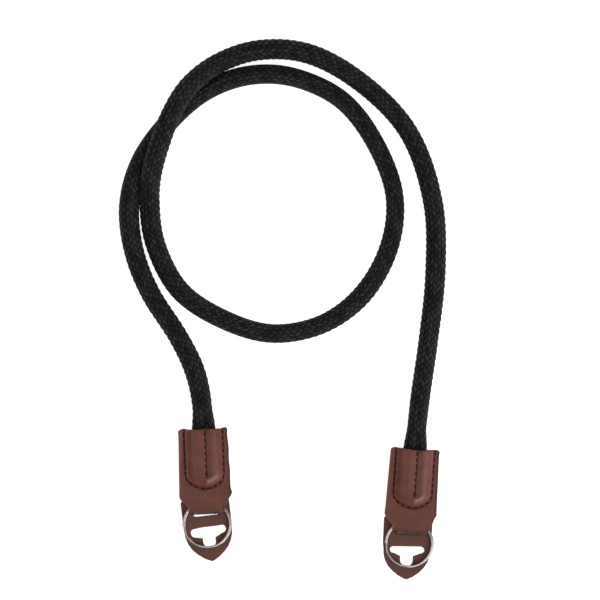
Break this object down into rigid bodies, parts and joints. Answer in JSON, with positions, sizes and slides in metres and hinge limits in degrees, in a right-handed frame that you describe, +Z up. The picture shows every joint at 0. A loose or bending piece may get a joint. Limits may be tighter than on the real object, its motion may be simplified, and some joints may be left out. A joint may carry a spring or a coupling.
{
  "type": "camera strap",
  "caption": "Climbing rope camera strap lying in a loose loop, with a folded leather tab, a split ring and a slotted leather protector at each end.",
  "frame": {"origin": "on the surface the strap lies on, at the centre of the box round its two leather ends", "axes": "+Z up, +Y from the leather ends towards the rope's loop, +X from the left end to the right end"},
  "size_m": [0.1665, 0.2745, 0.0197],
  "materials": {
    "rope": "braided, matt with a slight sheen",
    "tab_leather": "smooth, semi-gloss",
    "protector_leather": "smooth, satin",
    "ring_metal": "polished"
  },
  "bodies": {
    "root": {"rope": "rope", "tab_left": "tab_leather", "tab_right": "tab_leather", "ring_left": "ring_metal", "ring_right": "ring_metal", "protector_left": "protector_leather", "protector_right": "protector_leather"}
  },
  "joints": []
}
